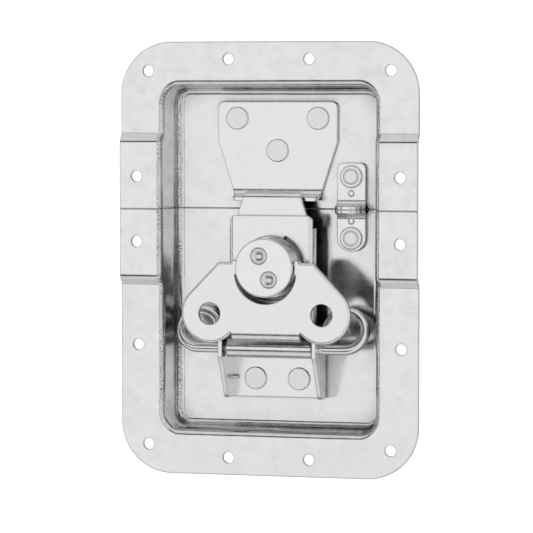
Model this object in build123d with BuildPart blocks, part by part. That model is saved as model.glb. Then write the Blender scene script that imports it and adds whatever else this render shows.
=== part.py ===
from build123d import *
from math import acos, asin, atan2, cos, degrees, radians, sin, tan
import os

os.makedirs("parts", exist_ok=True)

# Dish, pressed in two halves: lengths along Y, widths along X, Z out of the panel
sheet = 1.2
dish_width = 112.0
dish_length = 158.0
dish_corner = 19.0
dish_depth = 14.0
side_flange = 17.3
end_flange = 17.3
recess_corner = 5.0
draft = 5.0
bend = 2.5
split_y = 18.0
split_gap = 0.05
split_round = 0.3

# Crank: the side flanges are lifted on both sides of the split
crank_rise = 2.2
crank_reach = 25.0
crank_ramp = 2.6
crank_crest = 2.9
crank_valley = 0.6
flange_round = 0.3

# Mounting holes through the flange
hole_size = 4.1
corner_hole_inset_x = 10.4
corner_hole_inset_y = 10.6
end_hole_inset = 6.4
end_hole_pitch = 30.4
side_hole_inset = 6.5
crank_hole_pitch = 23.9
lower_hole_y = -31.8

# Rivets and fits
tail_height = 1.0
tail_radius = 3.3
tail_chamfer = 0.3
shank_radius = 2.4
head_radius = 4.2
head_height = 0.8
head_chamfer = 0.3
fit = 0.05

# Keeper plate with its standing lip
plate = 1.5
keeper_half = 22.6
keeper_foot_half = 15.6
keeper_top_y = 57.2
keeper_shoulder_y = 42.5
keeper_corner = 2.4
lip_y = 20.9
lip_height = 6.0
lip_bend = 3.3
lip_corner = 0.9
keeper_round = 0.25
lip_run = 0.2
keeper_rivet_x = 15.3
keeper_rivet_y = 51.1
keeper_low_rivet_y = 39.3

# Hinge bracket
ear_gap = 0.85
ear_wing_gap = 0.4
ear_top_reach = 3.0
ear_shoulder_reach = 5.3
ear_shoulder_drop = 1.8
ear_low_height = 8.0
ear_low_round = 2.5
ear_high_y = -27.6
ear_high_round = 2.0
bracket_low_y = -51.2
bracket_high_y = -24.5
bracket_bend = 1.0
bracket_rivet_x = 8.25
bracket_rivet_y = -44.3
gusset = 1.8
gusset_radius = 0.8
gusset_y = -43.9

# Hinge wire with an eye at each end
wire_radius = 1.95
hinge_y = -32.6
hinge_height = 10.75
eye_radius = 7.1
eye_gap = 0.15
eye_tilt = 20.0
eye_opening = 3.0

# Latch body
body_half = 16.05
body_top = 10.9
body_front_y = 15.8
body_flange = 4.3
body_bend = 0.6
flange_front_y = 11.2
flange_rear_y = -27.0
nose_inset = 0.55
nose_chamfer = 1.3
knuckle_slit = 0.4
slit_angle = -40.0
guide_plate_thick = 1.2
guide_front_y = 9.5
guide_rear_y = -25.0

# Knob and its drive
axis_y = -2.8
collar_radius = 11.2
collar_height = 1.65
lug_reach = 1.3
lug_angle = 10.0
lug_rest = -121.0
turn = 180.0
stop_slack = 0.7
throw = 1.9
cam_radius = 5.0
cam_slack = 0.6
spindle_radius = 3.0
stake_radius = 3.8
stake_height = 0.7
washer_radius = 5.6
washer_thick = 1.0
drum_radius = 9.5
drum_height = 8.1
cap_radius = 10.75
cap_thick = 1.5
cap_round = 0.5
cap_hole_chamfer = 0.2
pin_radius = 2.0
pin_head_radius = 2.9
pin_offset = 4.67
pin_angle = 113.5
pin_recess = 0.1
pin_round = 0.3
pin_dish_radius = 2.2
pin_dish_depth = 0.5
cross_pin_radius = 1.5
cross_pin_gap = 0.1
cross_pin_proud = 0.4
cross_pin_chamfer = 0.25

# Hook plate
hook_tip_half = 10.2
hook_shoulder_y = 13.1
hook_rear_y = -13.5
hook_leg = 5.2
hook_bend = 0.9
hook_gap = 0.5

# Butterfly wings
wing_drop = 2.2
wing_top_y = -0.85
wing_top_half = 17.7
lobe_x = 21.05
lobe_y = -19.75
lobe_radius = 10.7
finger_hole = 4.05
bay_y = -4.5
bay_gap = 0.85
lobe_round = 1.0
wing_corner = 1.4
wing_lip_half = 12.8
wing_lip_y = -26.6
wing_lip_radius = 3.1
lug_gap = 0.15
lug_radius = 2.6

# Padlock tabs
tab_sheet = 1.3
tab_x = 27.8
tab_width = 10.6
tab_height = 8.8
tab_bend = 2.4
tab_hole = 2.85
tab_hole_height = 5.0
tab_corner = 2.2
leg_round = 4.6
lower_end_round = 4.9
upper_tab_y = 34.9
lower_tab_y = 2.7
upper_rivet_y = 29.9
lower_rivet_y = 7.45
upper_pimple_y = 23.8
lower_pimple_y = 13.7
tab_head_radius = 4.2
tab_head_height = 1.0
tab_head_round = 0.5
tab_ring_outer = 2.8
tab_ring_inner = 2.4
tab_ring_depth = 0.3
pimple_radius = 1.2
pimple_height = 0.5
pimple_taper = 35.0

# Dish sizes that follow
recess_width = dish_width - 2 * side_flange
recess_length = dish_length - 2 * end_flange
corner_hole_x = dish_width / 2 - corner_hole_inset_x
corner_hole_y = dish_length / 2 - corner_hole_inset_y
end_hole_y = dish_length / 2 - end_hole_inset
side_hole_x = dish_width / 2 - side_hole_inset

# Widths that follow
body_inner = body_half - plate
nose_half = body_half - nose_inset
ear_inner = body_half + ear_gap
ear_outer = ear_inner + plate
eye_x = ear_outer + eye_gap + eye_radius + wire_radius
eye_turn = 360 - degrees(acos(1 - 2 * wire_radius / eye_radius)) - eye_opening
lug_inner = cap_radius + lug_gap
bay_radius = cap_radius + bay_gap

# Levels measured up from the table
floor_z = tail_height + sheet
flange_z = floor_z + dish_depth
raised_z = flange_z + crank_rise
blank_top_z = raised_z + 1
plate_z = floor_z + plate
hinge_z = floor_z + hinge_height
cover_z = floor_z + body_top
cover_under_z = cover_z - plate
hook_z = cover_under_z - fit
hook_under_z = hook_z - plate
guide_z = hook_under_z - fit
guide_under_z = guide_z - guide_plate_thick
collar_under_z = cover_under_z + fit
cam_under_z = hook_under_z
washer_under_z = guide_under_z - fit - washer_thick
collar_z = collar_under_z + collar_height
drum_z = collar_z + drum_height
cap_z = drum_z + cap_thick
wing_z = cap_z - wing_drop
wing_under_z = wing_z - plate
cross_pin_z = wing_under_z - cross_pin_gap - cross_pin_radius
tab_z = floor_z + tab_sheet

stop_start = lug_rest - lug_angle / 2 - stop_slack
stop_travel = turn + lug_angle + 2 * stop_slack

# Recess wall and flange profile
wall_slope = tan(radians(draft))
cup_grow = sheet / cos(radians(draft)) - sheet * wall_slope
rim_half_x = recess_width / 2 + (raised_z - floor_z) * wall_slope
rim_half_y = recess_length / 2 + (raised_z - floor_z) * wall_slope
crank_low_y = split_y - crank_reach
crank_high_y = split_y + crank_reach
blank_end_y = dish_length / 2 + 1
upper_edge_y = split_y + split_gap / 2
lower_edge_y = split_y - split_gap / 2


# Side view of the flange's face, or of its underside one sheet lower and parallel to it
def flange_side(drop):
    shift = drop * tan(atan2(crank_rise, crank_ramp) / 2)
    with BuildSketch(Plane.YZ) as side_view:
        with BuildLine():
            Polyline(
                (-blank_end_y, 0),
                (-blank_end_y, flange_z - drop),
                (crank_low_y - crank_ramp + shift, flange_z - drop),
                (crank_low_y + shift, raised_z - drop),
                (crank_high_y - shift, raised_z - drop),
                (crank_high_y + crank_ramp - shift, flange_z - drop),
                (blank_end_y, flange_z - drop),
                (blank_end_y, 0),
                close=True,
            )
        make_face()
        fillet(side_view.vertices().group_by(Axis.Y)[-1], radius=crank_crest - drop)
        inner_corners = side_view.vertices().filter_by_position(Axis.X, -dish_length / 2, dish_length / 2)
        fillet(inner_corners.group_by(Axis.Y)[0], radius=crank_valley + drop)
    return side_view.sketch


with BuildPart() as recess:
    with BuildSketch(Plane.XY.offset(floor_z)):
        RectangleRounded(recess_width, recess_length, recess_corner)
    extrude(amount=blank_top_z - floor_z, taper=-draft)
    fillet(recess.edges().group_by(Axis.Z)[0], radius=bend)

with BuildPart() as cup:
    with BuildSketch(Plane.XY.offset(tail_height)):
        RectangleRounded(
            recess_width + 2 * cup_grow,
            recess_length + 2 * cup_grow,
            recess_corner + cup_grow,
        )
    extrude(amount=blank_top_z - tail_height, taper=-draft)
    fillet(cup.edges().group_by(Axis.Z)[0], radius=bend + sheet)

with BuildPart() as flange_relief:
    extrude(flange_side(sheet), amount=dish_width / 2 + 1, both=True)
    add(cup.part, mode=Mode.SUBTRACT)
    relief_rim = (
        flange_relief.edges()
        .filter_by_position(Axis.Z, flange_z - sheet - 0.1, raised_z - sheet + 0.1)
        .filter_by_position(Axis.X, -rim_half_x - 2 * sheet, rim_half_x + 2 * sheet)
        .filter_by_position(Axis.Y, -rim_half_y - 2 * sheet, rim_half_y + 2 * sheet)
    )
    fillet(relief_rim, radius=bend - sheet)

with BuildPart() as dish_blank:
    extrude(flange_side(0), amount=dish_width / 2, both=True)
    with BuildSketch(Plane.XY):
        RectangleRounded(dish_width, dish_length, dish_corner)
    extrude(amount=blank_top_z, mode=Mode.INTERSECT)
    fillet(dish_blank.edges().filter_by_position(Axis.Z, flange_z - 0.1, raised_z + 0.1), radius=flange_round)
    add(recess.part, mode=Mode.SUBTRACT)
    blank_rim = (
        dish_blank.edges()
        .filter_by_position(Axis.Z, flange_z - 0.1, raised_z + 0.1)
        .filter_by_position(Axis.X, -rim_half_x - 0.2, rim_half_x + 0.2)
        .filter_by_position(Axis.Y, -rim_half_y - 0.2, rim_half_y + 0.2)
    )
    fillet(blank_rim, radius=bend)
    add(flange_relief.part, mode=Mode.SUBTRACT)

with BuildPart() as lower_dish:
    add(dish_blank.part)
    split(bisect_by=Plane.XZ.offset(-lower_edge_y), keep=Keep.TOP)
    lower_section = lower_dish.faces().sort_by(Axis.Y)[-1]
    fillet(lower_section.edges().filter_by_position(Axis.Z, floor_z, floor_z), radius=split_round)
    with BuildSketch():
        with Locations((0, -corner_hole_y)):
            with GridLocations(2 * corner_hole_x, 0, 2, 1):
                Circle(hole_size / 2)
        with Locations((0, -end_hole_y)):
            with GridLocations(end_hole_pitch, 0, 2, 1):
                Circle(hole_size / 2)
        with Locations((0, lower_hole_y), (0, split_y - crank_hole_pitch / 2)):
            with GridLocations(2 * side_hole_x, 0, 2, 1):
                Circle(hole_size / 2)
        with Locations((0, bracket_rivet_y)):
            with GridLocations(2 * bracket_rivet_x, 0, 2, 1):
                Circle(shank_radius + fit)
        with Locations((tab_x, lower_rivet_y)):
            Circle(shank_radius + fit)
    extrude(amount=blank_top_z, mode=Mode.SUBTRACT)
lower_dish.part.label = "lower_dish"
export_step(lower_dish.part, "parts/lower_dish.step")

with BuildPart() as upper_dish:
    add(dish_blank.part)
    split(bisect_by=Plane.XZ.offset(-upper_edge_y), keep=Keep.BOTTOM)
    upper_section = upper_dish.faces().sort_by(Axis.Y)[0]
    fillet(upper_section.edges().filter_by_position(Axis.Z, floor_z, floor_z), radius=split_round)
    with BuildSketch():
        with Locations((0, corner_hole_y)):
            with GridLocations(2 * corner_hole_x, 0, 2, 1):
                Circle(hole_size / 2)
        with Locations((0, end_hole_y)):
            with GridLocations(end_hole_pitch, 0, 2, 1):
                Circle(hole_size / 2)
        with Locations((0, split_y + crank_hole_pitch / 2)):
            with GridLocations(2 * side_hole_x, 0, 2, 1):
                Circle(hole_size / 2)
        with Locations((0, keeper_rivet_y)):
            with GridLocations(2 * keeper_rivet_x, 0, 2, 1):
                Circle(shank_radius + fit)
        with Locations((0, keeper_low_rivet_y), (tab_x, upper_rivet_y)):
            Circle(shank_radius + fit)
    extrude(amount=blank_top_z, mode=Mode.SUBTRACT)
upper_dish.part.label = "upper_dish"
export_step(upper_dish.part, "parts/upper_dish.step")

# Keeper plate: flat on the floor, its foot bent up into the lip the hook pulls on
with BuildSketch(Plane.XY.offset(floor_z)) as keeper_plan:
    with BuildLine():
        Polyline(
            (-keeper_half, keeper_top_y),
            (keeper_half, keeper_top_y),
            (keeper_half, keeper_shoulder_y),
            (keeper_foot_half, lip_y),
            (-keeper_foot_half, lip_y),
            (-keeper_half, keeper_shoulder_y),
            close=True,
        )
    make_face()
    fillet(keeper_plan.vertices().group_by(Axis.Y)[-1], radius=keeper_corner)
    fillet(keeper_plan.vertices().group_by(Axis.Y)[1], radius=keeper_corner)

flat_y = lip_y + plate + lip_bend + lip_run
with BuildPart() as keeper_lip:
    with BuildSketch(Plane.YZ) as lip_side:
        with BuildLine():
            Polyline(
                (flat_y, floor_z),
                (lip_y, floor_z),
                (lip_y, floor_z + lip_height),
                (lip_y + plate, floor_z + lip_height),
                (lip_y + plate, plate_z),
                (flat_y, plate_z),
                close=True,
            )
        make_face()
        fillet(lip_side.vertices().sort_by_distance((lip_y, floor_z))[0], radius=lip_bend + plate)
        fillet(lip_side.vertices().sort_by_distance((lip_y + plate, plate_z))[0], radius=lip_bend)
    extrude(amount=keeper_half, both=True)
    extrude(keeper_plan.sketch, amount=lip_height, mode=Mode.INTERSECT)
    lip_top = keeper_lip.edges().group_by(Axis.Z)[-1].sort_by(Axis.X)
    fillet([lip_top[0], lip_top[-1]], radius=min(lip_corner, 0.8 * (lip_height - plate - lip_bend)))

with BuildPart() as keeper_plate:
    extrude(keeper_plan.sketch, amount=plate)
    split(bisect_by=Plane.XZ.offset(-flat_y), keep=Keep.BOTTOM)
    plate_rim = keeper_plate.edges().group_by(Axis.Z)[-1].filter_by_position(Axis.Y, flat_y + 0.1, keeper_top_y)
    fillet(plate_rim, radius=keeper_round)
    add(keeper_lip.part)
    with BuildSketch():
        with Locations((0, keeper_rivet_y)):
            with GridLocations(2 * keeper_rivet_x, 0, 2, 1):
                Circle(shank_radius + fit)
        with Locations((0, keeper_low_rivet_y)):
            Circle(shank_radius + fit)
    extrude(amount=blank_top_z, mode=Mode.SUBTRACT)
keeper_plate.part.label = "keeper_plate"
export_step(keeper_plate.part, "parts/keeper_plate.step")

with BuildPart() as keeper_rivets:
    with Locations(
        (-keeper_rivet_x, keeper_rivet_y),
        (keeper_rivet_x, keeper_rivet_y),
        (0, keeper_low_rivet_y),
    ):
        Cylinder(tail_radius, tail_height, align=(Align.CENTER, Align.CENTER, Align.MIN))
        Cylinder(shank_radius, plate_z, align=(Align.CENTER, Align.CENTER, Align.MIN))
    with BuildSketch(Plane.XY.offset(plate_z)):
        with Locations(
            (-keeper_rivet_x, keeper_rivet_y),
            (keeper_rivet_x, keeper_rivet_y),
            (0, keeper_low_rivet_y),
        ):
            Circle(head_radius)
    extrude(amount=head_height)
    chamfer(keeper_rivets.edges().group_by(Axis.Z)[-1], length=head_chamfer)
    chamfer(keeper_rivets.edges().group_by(Axis.Z)[0], length=tail_chamfer)
keeper_rivets.part.label = "keeper_rivets"
export_step(keeper_rivets.part, "parts/keeper_rivets.step")

# Hinge bracket: base under the body, an ear bent up on each side
ear_top_z = wing_under_z - ear_wing_gap
with BuildPart() as base_bracket:
    with BuildSketch(Plane.XZ) as bracket_end:
        with BuildLine():
            Polyline(
                (-ear_outer, ear_top_z),
                (-ear_outer, floor_z),
                (ear_outer, floor_z),
                (ear_outer, ear_top_z),
                (ear_inner, ear_top_z),
                (ear_inner, plate_z),
                (-ear_inner, plate_z),
                (-ear_inner, ear_top_z),
                close=True,
            )
        make_face()
        fillet(bracket_end.vertices().group_by(Axis.Y)[0], radius=bracket_bend + plate)
        fillet(bracket_end.vertices().filter_by_position(Axis.Y, plate_z, plate_z), radius=bracket_bend)
    extrude(amount=dish_length / 2, both=True)
    with BuildSketch(Plane.YZ) as ear_side:
        with BuildLine():
            Polyline(
                (bracket_low_y, floor_z),
                (bracket_low_y, floor_z + ear_low_height),
                (hinge_y - ear_shoulder_reach, ear_top_z - ear_shoulder_drop),
                (hinge_y - ear_top_reach, ear_top_z),
                (ear_high_y, ear_top_z),
                (ear_high_y, plate_z + bracket_bend),
                (bracket_high_y, plate_z),
                (bracket_high_y, floor_z),
                close=True,
            )
        make_face()
        low_corner = ear_side.vertices().sort_by_distance((bracket_low_y, floor_z + ear_low_height))[0]
        fillet(low_corner, radius=ear_low_round)
        high_corner = ear_side.vertices().sort_by_distance((ear_high_y, ear_top_z))[0]
        fillet(high_corner, radius=ear_high_round)
    extrude(amount=dish_width / 2, both=True, mode=Mode.INTERSECT)
    # a round rib pressed across each bend stiffens it
    for side in (-1, 1):
        rib_centre = (side * (ear_inner - gusset / 2), gusset_y, plate_z + gusset / 2)
        with Locations(Location(rib_centre, (0, side * 45, 0))):
            Cylinder(gusset_radius, gusset * 2 ** 0.5)
    with BuildSketch(Plane.YZ):
        with Locations((hinge_y, hinge_z)):
            Circle(wire_radius + fit)
    extrude(amount=dish_width / 2, both=True, mode=Mode.SUBTRACT)
    with BuildSketch():
        with Locations((0, bracket_rivet_y)):
            with GridLocations(2 * bracket_rivet_x, 0, 2, 1):
                Circle(shank_radius + fit)
    extrude(amount=plate_z, mode=Mode.SUBTRACT)
base_bracket.part.label = "base_bracket"
export_step(base_bracket.part, "parts/base_bracket.step")

with BuildPart() as bracket_rivets:
    with Locations((-bracket_rivet_x, bracket_rivet_y), (bracket_rivet_x, bracket_rivet_y)):
        Cylinder(tail_radius, tail_height, align=(Align.CENTER, Align.CENTER, Align.MIN))
        Cylinder(shank_radius, plate_z, align=(Align.CENTER, Align.CENTER, Align.MIN))
    with BuildSketch(Plane.XY.offset(plate_z)):
        with Locations((-bracket_rivet_x, bracket_rivet_y), (bracket_rivet_x, bracket_rivet_y)):
            Circle(head_radius)
    extrude(amount=head_height)
    chamfer(bracket_rivets.edges().group_by(Axis.Z)[-1], length=head_chamfer)
    chamfer(bracket_rivets.edges().group_by(Axis.Z)[0], length=tail_chamfer)
bracket_rivets.part.label = "bracket_rivets"
export_step(bracket_rivets.part, "parts/bracket_rivets.step")

# Hinge wire: straight through the ears, then bent round into an eye beside each
eye_axis = Vector(0, sin(radians(eye_tilt)), cos(radians(eye_tilt)))
eye_centre = Vector(
    eye_x,
    hinge_y + eye_radius * cos(radians(eye_tilt)),
    hinge_z - eye_radius * sin(radians(eye_tilt)),
)
with BuildPart() as hinge_wire:
    with BuildSketch(Plane.YZ.offset(eye_x)) as wire_end:
        with Locations((hinge_y, hinge_z)):
            Circle(wire_radius)
    extrude(amount=-eye_x)
    revolve(wire_end.sketch, axis=Axis(eye_centre, eye_axis), revolution_arc=eye_turn)
    mirror(about=Plane.YZ)
hinge_wire.part.label = "hinge_wire"
export_step(hinge_wire.part, "parts/hinge_wire.step")

# Latch body: cover with two bent flanges, curled round the hinge wire at its foot
body_low_z = cover_z - body_flange
with BuildPart() as latch_body:
    with BuildSketch(Plane.XZ) as body_end:
        with BuildLine():
            Polyline(
                (-body_half, body_low_z),
                (-body_half, cover_z),
                (body_half, cover_z),
                (body_half, body_low_z),
                (body_inner, body_low_z),
                (body_inner, cover_under_z),
                (-body_inner, cover_under_z),
                (-body_inner, body_low_z),
                close=True,
            )
        make_face()
        fillet(body_end.vertices().group_by(Axis.Y)[-1], radius=body_bend + plate)
        fillet(body_end.vertices().filter_by_position(Axis.Y, cover_under_z, cover_under_z), radius=body_bend)
    extrude(amount=dish_length / 2, both=True)
    with BuildSketch():
        with BuildLine():
            Polyline(
                (-nose_half + nose_chamfer, body_front_y),
                (nose_half - nose_chamfer, body_front_y),
                (nose_half, body_front_y - nose_chamfer),
                (nose_half, flange_front_y),
                (body_half, flange_front_y),
                (body_half, hinge_y),
                (-body_half, hinge_y),
                (-body_half, flange_front_y),
                (-nose_half, flange_front_y),
                (-nose_half, body_front_y - nose_chamfer),
                close=True,
            )
        make_face()
    extrude(amount=cover_z, mode=Mode.INTERSECT)
    # the flanges stop short of the nose and of the knuckle
    with BuildSketch(Plane.YZ):
        with Locations((flange_front_y, 0)):
            Rectangle(dish_length, cover_under_z, align=(Align.MIN, Align.MIN))
        with Locations((flange_rear_y, 0)):
            Rectangle(dish_length, raised_z, align=(Align.MAX, Align.MIN))
    extrude(amount=body_half + 1, both=True, mode=Mode.SUBTRACT)
    with BuildSketch(Plane.YZ):
        with Locations((flange_rear_y, cover_under_z)):
            Rectangle(flange_rear_y - hinge_y, plate, align=(Align.MAX, Align.MIN))
        with Locations((hinge_y, hinge_z)):
            Circle(wire_radius + fit + plate)
    extrude(amount=body_half, both=True)
    with BuildSketch(Plane.YZ):
        with Locations((hinge_y, hinge_z)):
            Circle(wire_radius + fit)
        with Locations(Location((hinge_y, hinge_z), slit_angle)):
            Rectangle(2 * plate + wire_radius, knuckle_slit, align=(Align.MIN, Align.CENTER))
    extrude(amount=body_half, both=True, mode=Mode.SUBTRACT)
    # round opening for the collar, widened over the arc that its lug travels
    with BuildSketch():
        with Locations((0, axis_y)):
            Circle(collar_radius + fit)
        with BuildLine():
            stop_arc = CenterArc((0, axis_y), collar_radius + lug_reach + fit, stop_start, stop_travel)
            Line(stop_arc @ 1, (0, axis_y))
            Line((0, axis_y), stop_arc @ 0)
        make_face()
    extrude(amount=cover_z, mode=Mode.SUBTRACT)
latch_body.part.label = "latch_body"
export_step(latch_body.part, "parts/latch_body.step")

with BuildPart() as guide_plate:
    with BuildSketch(Plane.XY.offset(guide_under_z)):
        with Locations((0, (guide_front_y + guide_rear_y) / 2)):
            RectangleRounded(2 * body_inner, guide_front_y - guide_rear_y, 2)
        with Locations((0, axis_y)):
            Circle(spindle_radius + fit, mode=Mode.SUBTRACT)
    extrude(amount=guide_plate_thick)
guide_plate.part.label = "guide_plate"
export_step(guide_plate.part, "parts/guide_plate.step")

# Drive: spindle, eccentric and stop collar turned in one piece, staked below a washer
with BuildPart() as drive_cam:
    with BuildSketch(Plane.XY.offset(washer_under_z - stake_height)):
        with Locations((0, axis_y)):
            Circle(stake_radius)
    extrude(amount=stake_height)
    with BuildSketch(Plane.XY.offset(washer_under_z)):
        with Locations((0, axis_y)):
            Circle(spindle_radius)
    extrude(amount=cam_under_z - washer_under_z)
    with BuildSketch(Plane.XY.offset(cam_under_z)):
        with Locations((0, axis_y - throw)):
            Circle(cam_radius)
    extrude(amount=collar_under_z - cam_under_z)
    with BuildSketch(Plane.XY.offset(collar_under_z)):
        with Locations((0, axis_y)):
            Circle(collar_radius)
        with BuildLine():
            lug_arc = CenterArc((0, axis_y), collar_radius + lug_reach, lug_rest - lug_angle / 2, lug_angle)
            Line(lug_arc @ 1, (0, axis_y))
            Line((0, axis_y), lug_arc @ 0)
        make_face()
    extrude(amount=collar_height)
    with BuildSketch(Plane.XY.offset(collar_under_z)):
        with Locations((0, axis_y)):
            with PolarLocations(pin_offset, 2, pin_angle):
                Circle(pin_radius + fit)
    extrude(amount=collar_height, mode=Mode.SUBTRACT)
drive_cam.part.label = "drive_cam"
export_step(drive_cam.part, "parts/drive_cam.step")

with BuildPart() as spindle_washer:
    with BuildSketch(Plane.XY.offset(washer_under_z)):
        with Locations((0, axis_y)):
            Circle(washer_radius)
            Circle(spindle_radius + fit, mode=Mode.SUBTRACT)
    extrude(amount=washer_thick)
spindle_washer.part.label = "spindle_washer"
export_step(spindle_washer.part, "parts/spindle_washer.step")

with BuildPart() as knob_drum:
    with BuildSketch(Plane.XY.offset(collar_z)):
        with Locations((0, axis_y)):
            Circle(drum_radius)
            with PolarLocations(pin_offset, 2, pin_angle):
                Circle(pin_radius + fit, mode=Mode.SUBTRACT)
    extrude(amount=drum_height)
    with BuildSketch(Plane.YZ):
        with Locations((axis_y, cross_pin_z)):
            Circle(cross_pin_radius + fit)
    extrude(amount=drum_radius, both=True, mode=Mode.SUBTRACT)
knob_drum.part.label = "knob_drum"
export_step(knob_drum.part, "parts/knob_drum.step")

with BuildPart() as knob_cap:
    with BuildSketch(Plane.XY.offset(drum_z)):
        with Locations((0, axis_y)):
            Circle(cap_radius)
    extrude(amount=cap_thick)
    fillet(knob_cap.edges().group_by(Axis.Z)[-1], radius=cap_round)
    with BuildSketch(Plane.XY.offset(drum_z)):
        with Locations((0, axis_y)):
            with PolarLocations(pin_offset, 2, pin_angle):
                Circle(pin_head_radius + fit)
    extrude(amount=cap_thick, mode=Mode.SUBTRACT)
    with BuildSketch(Plane.XY.offset(cap_z)):
        with Locations((0, axis_y)):
            with PolarLocations(pin_offset, 2, pin_angle):
                Circle(pin_head_radius + fit + cap_hole_chamfer)
    extrude(amount=-cap_hole_chamfer, taper=45, mode=Mode.SUBTRACT)
knob_cap.part.label = "knob_cap"
export_step(knob_cap.part, "parts/knob_cap.step")

# Two pins staked into the cap tie cap, drum and collar together
pin_top_z = cap_z - pin_recess
pin_punch_radius = (pin_dish_radius ** 2 + pin_dish_depth ** 2) / (2 * pin_dish_depth)
with BuildPart() as cap_pins:
    with BuildSketch(Plane.XY.offset(collar_under_z)):
        with Locations((0, axis_y)):
            with PolarLocations(pin_offset, 2, pin_angle):
                Circle(pin_radius)
    extrude(amount=drum_z - collar_under_z)
    with BuildSketch(Plane.XY.offset(drum_z)):
        with Locations((0, axis_y)):
            with PolarLocations(pin_offset, 2, pin_angle):
                Circle(pin_head_radius)
    extrude(amount=pin_top_z - drum_z)
    fillet(cap_pins.edges().group_by(Axis.Z)[-1], radius=pin_round)
    with Locations((0, axis_y, pin_top_z + pin_punch_radius - pin_dish_depth)):
        with PolarLocations(pin_offset, 2, pin_angle):
            Sphere(pin_punch_radius, mode=Mode.SUBTRACT)
cap_pins.part.label = "cap_pins"
export_step(cap_pins.part, "parts/cap_pins.step")

# Cross pin through the drum, on which the wings fold
with BuildPart() as cross_pin:
    with BuildSketch(Plane.YZ):
        with Locations((axis_y, cross_pin_z)):
            Circle(cross_pin_radius)
    extrude(amount=lug_inner + plate + cross_pin_proud, both=True)
    chamfer(cross_pin.edges().filter_by(GeomType.CIRCLE), length=cross_pin_chamfer)
cross_pin.part.label = "cross_pin"
export_step(cross_pin.part, "parts/cross_pin.step")

# Hook plate: slides under the cover, its tip bent down behind the keeper lip
hook_half = body_inner - body_bend - fit
hook_inner_y = lip_y + plate + hook_gap
hook_tip_y = hook_inner_y + plate
with BuildPart() as hook_plate:
    with BuildSketch(Plane.YZ) as hook_side:
        with BuildLine():
            Polyline(
                (hook_rear_y, hook_under_z),
                (hook_rear_y, hook_z),
                (hook_tip_y, hook_z),
                (hook_tip_y, hook_z - hook_leg),
                (hook_inner_y, hook_z - hook_leg),
                (hook_inner_y, hook_under_z),
                close=True,
            )
        make_face()
        fillet(hook_side.vertices().sort_by_distance((hook_tip_y, hook_z))[0], radius=hook_bend + plate)
        fillet(hook_side.vertices().sort_by_distance((hook_inner_y, hook_under_z))[0], radius=hook_bend)
    extrude(amount=hook_half, both=True)
    with BuildSketch():
        with BuildLine():
            Polyline(
                (-hook_half, hook_rear_y),
                (hook_half, hook_rear_y),
                (hook_half, hook_shoulder_y),
                (hook_tip_half, hook_tip_y),
                (-hook_tip_half, hook_tip_y),
                (-hook_half, hook_shoulder_y),
                close=True,
            )
        make_face()
    extrude(amount=hook_z, mode=Mode.INTERSECT)
    with BuildSketch():
        with Locations((0, axis_y - throw)):
            Rectangle(2 * (cam_radius + throw + cam_slack), 2 * (cam_radius + cam_slack))
    extrude(amount=hook_z, mode=Mode.SUBTRACT)
hook_plate.part.label = "hook_plate"
export_step(hook_plate.part, "parts/hook_plate.step")

# Butterfly wings: one stamping, lobes joined by a neck with a rolled lip, two hinge lugs
tangent_run = (lobe_x - wing_top_half, lobe_y - wing_top_y)
tangent_span = (tangent_run[0] ** 2 + tangent_run[1] ** 2) ** 0.5
tangent_length = (tangent_span ** 2 - lobe_radius ** 2) ** 0.5
tangent_angle = atan2(tangent_run[1], tangent_run[0]) + asin(lobe_radius / tangent_span)
tangent_x = wing_top_half + tangent_length * cos(tangent_angle)
tangent_y = wing_top_y + tangent_length * sin(tangent_angle)
with BuildPart() as butterfly_wings:
    with BuildSketch(Plane.XY.offset(wing_under_z)) as wing_plan:
        with BuildLine():
            Polyline(
                (-wing_top_half, wing_top_y),
                (wing_top_half, wing_top_y),
                (tangent_x, tangent_y),
                (lobe_x, lobe_y),
                (wing_lip_half, wing_lip_y),
                (-wing_lip_half, wing_lip_y),
                (-lobe_x, lobe_y),
                (-tangent_x, tangent_y),
                close=True,
            )
        make_face()
        fillet(wing_plan.vertices().group_by(Axis.Y)[-1], radius=wing_corner)
        with Locations((-lobe_x, lobe_y), (lobe_x, lobe_y)):
            Circle(lobe_radius)
    extrude(amount=plate)
    rim_edges = butterfly_wings.edges().filter_by(GeomType.CIRCLE).group_by(Axis.Z)[-1]
    lobe_rims = rim_edges.filter_by_position(Axis.Y, lobe_y - lobe_radius, lobe_y)
    fillet(lobe_rims, radius=lobe_round)
    with BuildSketch(Plane.XY.offset(wing_under_z)):
        with Locations((-lobe_x, lobe_y), (lobe_x, lobe_y)):
            Circle(finger_hole)
        with Locations((0, bay_y)):
            Circle(bay_radius)
    extrude(amount=plate, mode=Mode.SUBTRACT)
    # rolled lip between the lobes, for a fingertip
    with BuildSketch(Plane.YZ):
        with BuildLine():
            lip_outer = CenterArc((wing_lip_y, wing_z - wing_lip_radius), wing_lip_radius, 90, 90)
            lip_inner = CenterArc((wing_lip_y, wing_z - wing_lip_radius), wing_lip_radius - plate, 90, 90)
            Line(lip_outer @ 0, lip_inner @ 0)
            Line(lip_outer @ 1, lip_inner @ 1)
        make_face()
    extrude(amount=wing_lip_half, both=True)
    # hinge lugs bent down beside the bay
    for side in (-1, 1):
        with BuildSketch(Plane.YZ.offset(side * lug_inner)):
            with Locations((axis_y, cross_pin_z)):
                Circle(lug_radius)
                Rectangle(2 * lug_radius, wing_z - cross_pin_z, align=(Align.CENTER, Align.MIN))
                Circle(cross_pin_radius + fit, mode=Mode.SUBTRACT)
        extrude(amount=side * plate)
butterfly_wings.part.label = "butterfly_wings"
export_step(butterfly_wings.part, "parts/butterfly_wings.step")


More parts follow.
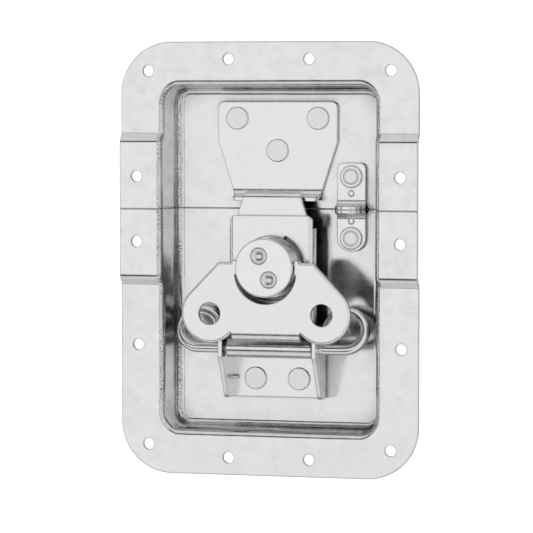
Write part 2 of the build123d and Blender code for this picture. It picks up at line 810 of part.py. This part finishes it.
# Padlock tabs: one riveted to each half, their standing legs back to back at the split
def padlock_tab(name, edge_y, end_y, rivet_y, pimple_y, end_round):
    outward = 1 if end_y > edge_y else -1
    inner_y = edge_y + outward * tab_sheet
    with BuildPart() as tab:
        with BuildSketch(Plane.YZ) as tab_side:
            with BuildLine():
                Polyline(
                    (edge_y, floor_z),
                    (edge_y, floor_z + tab_height),
                    (inner_y, floor_z + tab_height),
                    (inner_y, tab_z),
                    (end_y, tab_z),
                    (end_y, floor_z),
                    close=True,
                )
            make_face()
            fillet(tab_side.vertices().sort_by_distance((edge_y, floor_z))[0], radius=tab_bend + tab_sheet)
            fillet(tab_side.vertices().sort_by_distance((inner_y, tab_z))[0], radius=tab_bend)
        extrude(amount=tab_x + tab_width)
        with BuildSketch() as tab_plan:
            with Locations((tab_x, (edge_y + end_y) / 2)):
                Rectangle(tab_width, abs(end_y - edge_y))
            fillet(tab_plan.vertices().sort_by_distance((tab_x, end_y))[:2], radius=end_round)
            with Locations((tab_x, rivet_y)):
                Circle(shank_radius + fit, mode=Mode.SUBTRACT)
        extrude(amount=raised_z, mode=Mode.INTERSECT)
        fillet(tab.edges().filter_by(Axis.Y).group_by(Axis.Z)[-1], radius=leg_round)
        with BuildSketch(Plane.XZ.offset(-edge_y)):
            with Locations((tab_x, floor_z + tab_hole_height)):
                Circle(tab_hole)
        extrude(amount=-outward * (tab_sheet + tab_bend), mode=Mode.SUBTRACT)
        with BuildSketch(Plane.XY.offset(tab_z)):
            with Locations((tab_x, pimple_y)):
                Circle(pimple_radius)
        extrude(amount=pimple_height, taper=pimple_taper)
    tab.part.label = name
    export_step(tab.part, f"parts/{name}.step")


padlock_tab("upper_tab", upper_edge_y, upper_tab_y, upper_rivet_y, upper_pimple_y, tab_corner)
padlock_tab("lower_tab", lower_edge_y, lower_tab_y, lower_rivet_y, lower_pimple_y, lower_end_round)


def tab_rivet(name, rivet_y):
    with BuildPart() as rivet:
        with Locations((tab_x, rivet_y)):
            Cylinder(tail_radius, tail_height, align=(Align.CENTER, Align.CENTER, Align.MIN))
            Cylinder(shank_radius, tab_z, align=(Align.CENTER, Align.CENTER, Align.MIN))
        with BuildSketch(Plane.XY.offset(tab_z)):
            with Locations((tab_x, rivet_y)):
                Circle(tab_head_radius)
        extrude(amount=tab_head_height)
        fillet(rivet.edges().group_by(Axis.Z)[-1], radius=tab_head_round)
        chamfer(rivet.edges().group_by(Axis.Z)[0], length=tail_chamfer)
        with BuildSketch(Plane.XY.offset(tab_z + tab_head_height)):
            with Locations((tab_x, rivet_y)):
                Circle(tab_ring_outer)
                Circle(tab_ring_inner, mode=Mode.SUBTRACT)
        extrude(amount=-tab_ring_depth, mode=Mode.SUBTRACT)
    rivet.part.label = name
    export_step(rivet.part, f"parts/{name}.step")


tab_rivet("upper_tab_rivet", upper_rivet_y)
tab_rivet("lower_tab_rivet", lower_rivet_y)
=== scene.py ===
import math
import bpy
from mathutils import Matrix, Vector

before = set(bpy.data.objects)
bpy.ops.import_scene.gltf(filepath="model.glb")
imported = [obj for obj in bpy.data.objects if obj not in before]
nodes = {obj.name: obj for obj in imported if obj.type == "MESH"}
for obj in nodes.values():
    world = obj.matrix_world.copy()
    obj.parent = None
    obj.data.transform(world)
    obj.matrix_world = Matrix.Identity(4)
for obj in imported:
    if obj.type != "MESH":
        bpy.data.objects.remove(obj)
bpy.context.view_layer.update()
mmPerMetre = 1000
print("frame loaded:", len(nodes), "nodes")


def linearColour(hexCode):
    # sRGB hex to the linear values that shader sockets want
    channels = [int(hexCode[i:i + 2], 16) / 255 for i in (1, 3, 5)]
    linear = [c / 12.92 if c <= 0.04045 else ((c + 0.055) / 1.055) ** 2.4 for c in channels]
    return (*linear, 1.0)


def addNode(tree, kind, links=None, values=None, **settings):
    # inputs go by name, or by number where names repeat: a Mix node's factor is 0, its numbers are 2 and 3
    # and its colours 6 and 7
    node = tree.nodes.new(kind)
    for key, value in settings.items():
        setattr(node, key, value)
    for key, value in (values or {}).items():
        node.inputs[key].default_value = value
    for key, source in (links or {}).items():
        tree.links.new(source, node.inputs[key])
    return node


# Camera: a long lens above the latch, leaning to its right
camera = {
    "side": 15.74,  # degrees to the latch's right of straight above
    "top": 3.16,  # degrees towards its upper end
    "distance": 1.2,  # metres
    "lens": 222.2,  # mm
    "sensor": 36.0,  # mm
    "clip": (0.05, 20.0),  # metres
    "target": (-0.00245, -0.0029, 0.010),
}


def makeCamera(settings):
    data = bpy.data.cameras.new("camera")
    data.lens = settings["lens"]
    data.sensor_width = settings["sensor"]
    data.clip_start, data.clip_end = settings["clip"]
    obj = bpy.data.objects.new("camera", data)
    bpy.context.collection.objects.link(obj)
    sideways, upwards = math.radians(settings["side"]), math.radians(settings["top"])
    back = Vector((math.tan(sideways), math.tan(upwards), 1.0)).normalized()
    right = Vector((0, 1, 0)).cross(back).normalized()
    turn = Matrix((right, back.cross(right), back)).transposed().to_4x4()
    place = Vector(settings["target"]) + back * settings["distance"]
    obj.matrix_world = Matrix.Translation(place) @ turn
    bpy.context.scene.camera = obj


makeCamera(camera)

# Studio: soft boxes round the latch. Centre and half size are slopes, X/Z and Y/Z of the direction,
# so a slope of 1 is 45 degrees from straight above. The Background node's own 0.8 grey multiplies each level
studio = {
    "horizon": 0.02,  # least Z that divides, which keeps the slopes finite at and below the horizon
    "between": (0.02, 0.10),  # level between the boxes, at the horizon and overhead
    "edge": 0.16,  # width of a box's soft edge, as a slope
    "backdrop": 1.0,  # level that the camera itself sees
    "boxes": [
        {"centre": (-0.36, 0.01), "half": (0.45, 0.28), "level": 1.24},
        {"centre": (3.90, 0.00), "half": (3.75, 2.00), "level": 1.02},
        {"centre": (-4.47, 0.20), "half": (3.17, 2.20), "level": 1.02},
        {"centre": (0.00, 8.75), "half": (6.00, 8.00), "level": 0.98},
        {"centre": (0.00, -8.75), "half": (6.00, 8.00), "level": 0.94},
    ],
}


def makeWorld(settings):
    # a box is the product of two soft steps, one on each slope: each falls smoothly from 1 to 0 as the
    # distance from the box's centre passes its half size; where boxes overlap, the brighter one counts
    world = bpy.data.worlds.new("studio")
    bpy.context.scene.world = world
    world.use_nodes = True
    tree = world.node_tree
    tree.nodes.clear()
    coord = addNode(tree, "ShaderNodeTexCoord")
    split = addNode(tree, "ShaderNodeSeparateXYZ", {"Vector": coord.outputs["Generated"]})
    height = addNode(
        tree, "ShaderNodeMath", {0: split.outputs["Z"]}, {1: settings["horizon"]}, operation="MAXIMUM",
    )
    slopes = [
        addNode(
            tree, "ShaderNodeMath", {0: split.outputs[axis], 1: height.outputs[0]}, operation="DIVIDE",
        )
        for axis in ("X", "Y")
    ]
    low, high = settings["between"]
    level = addNode(
        tree, "ShaderNodeMapRange", {"Value": split.outputs["Z"]}, {"To Min": low, "To Max": high},
    ).outputs[0]
    soft = settings["edge"] / 2
    for box in settings["boxes"]:
        steps = []
        for slope, centre, half in zip(slopes, box["centre"], box["half"]):
            away = addNode(
                tree, "ShaderNodeMath", {0: slope.outputs[0]}, {1: centre}, operation="SUBTRACT",
            )
            distance = addNode(tree, "ShaderNodeMath", {0: away.outputs[0]}, operation="ABSOLUTE")
            steps.append(addNode(
                tree, "ShaderNodeMapRange", {"Value": distance.outputs[0]},
                {"From Min": half - soft, "From Max": half + soft, "To Min": 1.0, "To Max": 0.0},
                interpolation_type="SMOOTHSTEP",
            ))
        inside = addNode(
            tree, "ShaderNodeMath", {0: steps[0].outputs[0], 1: steps[1].outputs[0]}, operation="MULTIPLY",
        )
        lit = addNode(
            tree, "ShaderNodeMath", {0: inside.outputs[0]}, {1: box["level"]}, operation="MULTIPLY",
        )
        level = addNode(
            tree, "ShaderNodeMath", {0: lit.outputs[0], 1: level}, operation="MAXIMUM",
        ).outputs[0]
    path = addNode(tree, "ShaderNodeLightPath")
    seen = addNode(
        tree, "ShaderNodeMix", {0: path.outputs["Is Camera Ray"], 2: level}, {3: settings["backdrop"]},
    )
    light = addNode(tree, "ShaderNodeBackground", {"Strength": seen.outputs[0]})
    addNode(tree, "ShaderNodeOutputWorld", {"Surface": light.outputs[0]})


# Floor: a wide sheet of white paper
floor = {
    "half": 4.0,  # metres
    "paper": "#F3F3F3",
    "glow": 0.75,  # added for the camera alone, so that the soft shadow stands on white
}


def makeFloor(settings):
    # a square of side 2 * half at height 0
    half = settings["half"]
    corners = [(-half, -half, 0), (half, -half, 0), (half, half, 0), (-half, half, 0)]
    mesh = bpy.data.meshes.new("floor")
    mesh.from_pydata(corners, [], [(0, 1, 2, 3)])
    obj = bpy.data.objects.new("floor", mesh)
    bpy.context.collection.objects.link(obj)
    material = bpy.data.materials.new("white paper sweep")
    material.use_nodes = True
    tree = material.node_tree
    tree.nodes.clear()
    path = addNode(tree, "ShaderNodeLightPath")
    paper = addNode(tree, "ShaderNodeBsdfDiffuse", values={"Color": linearColour(settings["paper"])})
    glow = addNode(tree, "ShaderNodeEmission", values={"Strength": settings["glow"]})
    both = addNode(tree, "ShaderNodeAddShader", {0: paper.outputs[0], 1: glow.outputs[0]})
    mix = addNode(tree, "ShaderNodeMixShader", {
        0: path.outputs["Is Camera Ray"], 1: paper.outputs[0], 2: both.outputs[0],
    })
    addNode(tree, "ShaderNodeOutputMaterial", {"Surface": mix.outputs[0]})
    mesh.materials.append(material)


makeWorld(studio)
makeFloor(floor)
bpy.context.scene.view_settings.view_transform = "Standard"
print("camera and studio made")


# What every zinc finish here shares. Real plating grain is too fine to show, so the finishes below draw
# it 0.4 to 0.8 mm wide. A grainStretch below 1 draws it out along that axis, and every height is in mm
zinc = {
    "detail": {"mottle": 5.0, "wave": 1.5, "grain": 2.0},  # octaves of each cloud
    "roughOver": (0.3, 0.7),  # mottle over which roughness goes from the first to the second of "rough"
    # rimOver shapes the painted shade of the dark outline along sheet edges; the samples below serve the
    # painted shade rows and that outline
    "rimOver": (0.55, 0.85),  # open share of a look into the metal, from full outline to none
    "paintedShadeSamples": 8,
    "edgeSamples": 6,
}


def makeClouds(tree, place, settings):
    # clouds at three sizes: mottle sets tone and roughness, wave and grain bend the surface
    clouds = {}
    for kind, detail in zinc["detail"].items():
        stretch = settings["grainStretch"] if kind == "grain" else (1, 1, 1)
        scaled = addNode(tree, "ShaderNodeVectorMath", {0: place}, {1: stretch}, operation="MULTIPLY")
        clouds[kind] = addNode(
            tree, "ShaderNodeTexNoise", {"Vector": scaled.outputs[0]},
            {"Scale": mmPerMetre / settings[kind + "Mm"], "Detail": detail},
        ).outputs[0]
    return clouds


def makePaintedShade(tree, settings):
    # a painted shade for each row of the list: the colour darkens where little of the sky is open within the
    # row's reach, as shade falls in creases and beside other parts, to the row's tone up to its hidden share,
    # rising to 1, unshaded, at its open share; and one painted shade along the sheet's edges, a dark outline
    # where a look into the metal comes out again within rimMm
    shades = []
    for row in settings["paintedShade"]:
        sky = addNode(
            tree, "ShaderNodeAmbientOcclusion", values={"Distance": row["reachMm"] / mmPerMetre},
            samples=zinc["paintedShadeSamples"],
        )
        shades.append(addNode(
            tree, "ShaderNodeMapRange", {"Value": sky.outputs["AO"]},
            {"From Min": row["hidden"], "From Max": row["open"], "To Min": row["tone"]},
        ).outputs[0])
    rim = addNode(
        tree, "ShaderNodeAmbientOcclusion", values={"Distance": settings["rimMm"] / mmPerMetre},
        samples=zinc["edgeSamples"], inside=True,
    )
    low, high = zinc["rimOver"]
    shades.append(addNode(
        tree, "ShaderNodeMapRange", {"Value": rim.outputs["AO"]},
        {"From Min": low, "From Max": high, "To Min": settings["rimShadeTone"]},
    ).outputs[0])
    return shades


def makeScores(tree, coords, scores):
    # specks times a mask. The mask shows on the side bends, fades out on the steep walls, the flat flange
    # and the end bends, stops at halfMm from the middle, and is weaker from patch to patch
    facing = addNode(tree, "ShaderNodeSeparateXYZ", {"Vector": coords["Normal"]}).outputs
    across = addNode(tree, "ShaderNodeSeparateXYZ", {"Vector": coords["Object"]}).outputs["X"]
    masks = [
        addNode(
            tree, "ShaderNodeMapRange", {"Value": facing["Z"]}, {"From Min": none, "From Max": full},
            interpolation_type="SMOOTHSTEP",
        ).outputs[0]
        for none, full in (scores["offWalls"], scores["offFlange"])
    ]
    sideways = addNode(tree, "ShaderNodeMath", {0: facing["X"]}, operation="ABSOLUTE")
    none, full = scores["offEnds"]
    masks.append(addNode(
        tree, "ShaderNodeMapRange", {"Value": sideways.outputs[0]}, {"From Min": none, "From Max": full},
    ).outputs[0])
    outwards = addNode(tree, "ShaderNodeMath", {0: across}, operation="ABSOLUTE")
    masks.append(addNode(
        tree, "ShaderNodeMath", {0: outwards.outputs[0]}, {1: scores["halfMm"] / mmPerMetre},
        operation="LESS_THAN",
    ).outputs[0])
    patch = addNode(
        tree, "ShaderNodeTexNoise", {"Vector": coords["Object"]},
        {"Scale": mmPerMetre / scores["patchMm"], "Detail": scores["patchDetail"]},
    )
    low, high = scores["patchOver"]
    masks.append(addNode(
        tree, "ShaderNodeMapRange", {"Value": patch.outputs[0]},
        {"From Min": low, "From Max": high, "To Min": scores["patchLeast"]},
    ).outputs[0])
    mask = masks[0]
    for other in masks[1:]:
        mask = addNode(tree, "ShaderNodeMath", {0: mask, 1: other}, operation="MULTIPLY").outputs[0]
    specks = addNode(
        tree, "ShaderNodeTexNoise", {"Vector": coords["Object"]},
        {"Scale": mmPerMetre / scores["speckMm"], "Detail": scores["speckDetail"]},
    )
    low, high = scores["speckOver"]
    tone = addNode(
        tree, "ShaderNodeMapRange", {"Value": specks.outputs[0]},
        {"From Min": low, "From Max": high, "To Min": scores["tone"]},
    )
    shade = addNode(tree, "ShaderNodeMix", {0: mask, 3: tone.outputs[0]}, {2: 1.0})
    height = addNode(tree, "ShaderNodeMath", {0: specks.outputs[0], 1: mask}, operation="MULTIPLY")
    return shade.outputs[0], height.outputs[0]


def makeHollow(tree, place, hollow):
    # height = tilt * x^2 / (2 * reach), with x held within halfMm of the middle
    across = addNode(tree, "ShaderNodeSeparateXYZ", {"Vector": place}).outputs["X"]
    half = hollow["halfMm"] / mmPerMetre
    held = addNode(tree, "ShaderNodeClamp", {"Value": across}, {"Min": -half, "Max": half}).outputs[0]
    square = addNode(tree, "ShaderNodeMath", {0: held, 1: held}, operation="MULTIPLY")
    curve = hollow["tilt"] / (2 * hollow["reachMm"] / mmPerMetre)
    height = addNode(tree, "ShaderNodeMath", {0: square.outputs[0]}, {1: curve}, operation="MULTIPLY")
    return height.outputs[0]


def makeMetal(name, settings):
    # plated steel: the mottled tone times every painted shade and score mark, on edges rounded by edgeMm and
    # bent by every bump
    material = bpy.data.materials.new(name)
    material.use_nodes = True
    tree = material.node_tree
    tree.nodes.clear()
    coords = addNode(tree, "ShaderNodeTexCoord").outputs
    clouds = makeClouds(tree, coords["Object"], settings)
    shades = makePaintedShade(tree, settings)
    bumps = [(clouds[kind], settings[kind + "Height"] / mmPerMetre) for kind in ("wave", "grain")]
    if "scores" in settings:
        shade, height = makeScores(tree, coords, settings["scores"])
        shades.append(shade)
        bumps.append((height, settings["scores"]["heightMm"] / mmPerMetre))
    if "hollow" in settings:
        bumps.append((makeHollow(tree, coords["Object"], settings["hollow"]), 1.0))  # already in metres
    colour = addNode(tree, "ShaderNodeMix", {0: clouds["mottle"]}, {
        6: linearColour(settings["dark"]), 7: linearColour(settings["light"]),
    }, data_type="RGBA").outputs[2]
    for shade in shades:
        colour = addNode(
            tree, "ShaderNodeMix", {6: colour, 7: shade}, {0: 1.0}, data_type="RGBA", blend_type="MULTIPLY",
        ).outputs[2]
    normal = addNode(
        tree, "ShaderNodeBevel", values={"Radius": settings["edgeMm"] / mmPerMetre},
        samples=zinc["edgeSamples"],
    ).outputs[0]
    for height, distance in bumps:
        normal = addNode(
            tree, "ShaderNodeBump", {"Height": height, "Normal": normal},
            {"Strength": 1.0, "Distance": distance},
        ).outputs[0]
    low, high = zinc["roughOver"]
    smooth, dull = settings["rough"]
    rough = addNode(
        tree, "ShaderNodeMapRange", {"Value": clouds["mottle"]},
        {"From Min": low, "From Max": high, "To Min": smooth, "To Max": dull},
    )
    shader = addNode(
        tree, "ShaderNodeBsdfPrincipled",
        {"Base Color": colour, "Roughness": rough.outputs[0], "Normal": normal}, {"Metallic": 1.0},
    )
    addNode(tree, "ShaderNodeOutputMaterial", {"Surface": shader.outputs[0]})
    return material


def dress(names, material):
    for name in names:
        mesh = nodes[name].data
        mesh.materials.clear()
        mesh.materials.append(material)
    print(material.name + ":", len(names), "nodes")


# Dish: zinc plated sheet, drawn deep. Its floor comes out slightly wavy and hollow, so that it mirrors the
# studio in clouds, and the side bends are scored where they ran over the die. Real scores are too fine to
# show, so these are 0.5 mm wide
dish = {
    "light": "#F6F6F6", "dark": "#CECECE", "rough": (0.10, 0.22),
    "mottleMm": 5.0, "waveMm": 24.0, "waveHeight": 0.6,
    "grainMm": 0.8, "grainStretch": (1, 0.15, 1), "grainHeight": 0.006,  # along the latch, as rolled
    # the rim entries paint a dark outline of shade along the sheet's edges; the rows below paint shade in
    # creases and, nearly to black, on the floor deep beside the body
    "edgeMm": 0.25, "rimMm": 0.6, "rimShadeTone": 0.55,
    "paintedShade": [
        {"reachMm": 1.2, "hidden": 0.15, "open": 0.60, "tone": 0.45},  # in creases
        {"reachMm": 14.0, "hidden": 0.10, "open": 0.62, "tone": 0.03},  # deep beside the body
    ],
    "hollow": {"tilt": 0.10, "reachMm": 28, "halfMm": 36},  # out to the foot of the walls
    "scores": {
        "speckMm": 0.5, "speckDetail": 3.0, "speckOver": (0.44, 0.56), "tone": 0.42, "heightMm": 0.10,
        "patchMm": 14, "patchDetail": 2.0, "patchOver": (0.40, 0.60), "patchLeast": 0.35,
        "offWalls": (0.10, 0.35),  # the normal's Z where scores begin and where they are full
        "offFlange": (0.995, 0.93),  # the same from the flat side
        "offEnds": (0.05, 0.25),  # the normal's X, so that the end bends stay clean
        "halfMm": 43,  # just past the side bends, so that the flange's outer edge stays clean
    },
}
dress(["lower_dish", "upper_dish"], makeMetal("bright zinc on drawn sheet", dish))

# Flat stampings: the same plating on flatter sheet, which gives a pale and even face
stamping = {
    "light": "#FAFAFA", "dark": "#D9D9D9", "rough": (0.16, 0.28),
    "mottleMm": 3.0, "waveMm": 30.0, "waveHeight": 0.15,
    "grainMm": 0.6, "grainStretch": (1, 1, 1), "grainHeight": 0.004,
    # the rim entries paint a dark outline of shade along the sheet's edges; the rows below paint shade in
    # creases and, nearly to black, where other parts close in within 6 mm
    "edgeMm": 0.3, "rimMm": 0.6, "rimShadeTone": 0.55,
    "paintedShade": [
        {"reachMm": 1.0, "hidden": 0.05, "open": 0.50, "tone": 0.60},
        {"reachMm": 6.0, "hidden": 0.00, "open": 0.20, "tone": 0.10},
    ],
}
dress(["keeper_plate", "butterfly_wings"], makeMetal("bright zinc on flat stampings", stamping))

# Bent brackets: stamped in the same way, with rounder edges, a fainter painted outline of shade along the
# edges and little painted shade in creases
bracket = dict(
    stamping, edgeMm=0.5, rimShadeTone=0.75,
    paintedShade=[{"reachMm": 0.8, "hidden": 0.0, "open": 0.4, "tone": 0.7}],
)
dress(["base_bracket", "upper_tab", "lower_tab"], makeMetal("bright zinc on tightly bent brackets", bracket))

# Sheltered stampings: the cover and the plates under it, with painted shade that is dark where they close on
# each other
sheltered = dict(stamping, paintedShade=[
    {"reachMm": 1.5, "hidden": 0.15, "open": 0.60, "tone": 0.40},
    {"reachMm": 9.0, "hidden": 0.15, "open": 0.62, "tone": 0.02},
])
dress(["latch_body", "guide_plate", "hook_plate"], makeMetal("bright zinc on sheltered stampings", sheltered))

# Rivets: zinc plated, and left a little duller and rougher by the setting tool
rivet = {
    "light": "#F8F8F8", "dark": "#D2D2D2", "rough": (0.20, 0.32),
    "mottleMm": 1.2, "waveMm": 5.0, "waveHeight": 0.10,
    "grainMm": 0.4, "grainStretch": (1, 1, 1), "grainHeight": 0.006,
    # the rim entries paint a dark outline of shade along the edges, and the row below paints a light shade in
    # creases round the heads
    "edgeMm": 0.25, "rimMm": 0.6, "rimShadeTone": 0.6,
    "paintedShade": [{"reachMm": 1.0, "hidden": 0.05, "open": 0.50, "tone": 0.70}],
}
dress(
    ["keeper_rivets", "bracket_rivets", "upper_tab_rivet", "lower_tab_rivet", "cap_pins"],
    makeMetal("zinc plated rivets", rivet),
)

# Turned steel and drawn wire: zinc plated over a smooth face, so the most mirror-like. The grain lies flat,
# as turning marks do
turned = {
    "light": "#F0F0F0", "dark": "#DEDEDE", "rough": (0.10, 0.18),
    "mottleMm": 3.0, "waveMm": 8.0, "waveHeight": 0.03,
    "grainMm": 0.5, "grainStretch": (0.2, 0.2, 3), "grainHeight": 0.004,
    # the rim entries paint a dark outline of shade along the edges; the rows below paint shade in creases
    # and, nearly to black, in hollows within 10 mm
    "edgeMm": 0.3, "rimMm": 0.6, "rimShadeTone": 0.55,
    "paintedShade": [
        {"reachMm": 1.5, "hidden": 0.12, "open": 0.55, "tone": 0.40},
        {"reachMm": 10.0, "hidden": 0.02, "open": 0.40, "tone": 0.08},
    ],
}
dress(
    ["hinge_wire", "cross_pin", "drive_cam", "knob_drum", "knob_cap", "spindle_washer"],
    makeMetal("bright zinc on turned steel", turned),
)
print("finishes made")
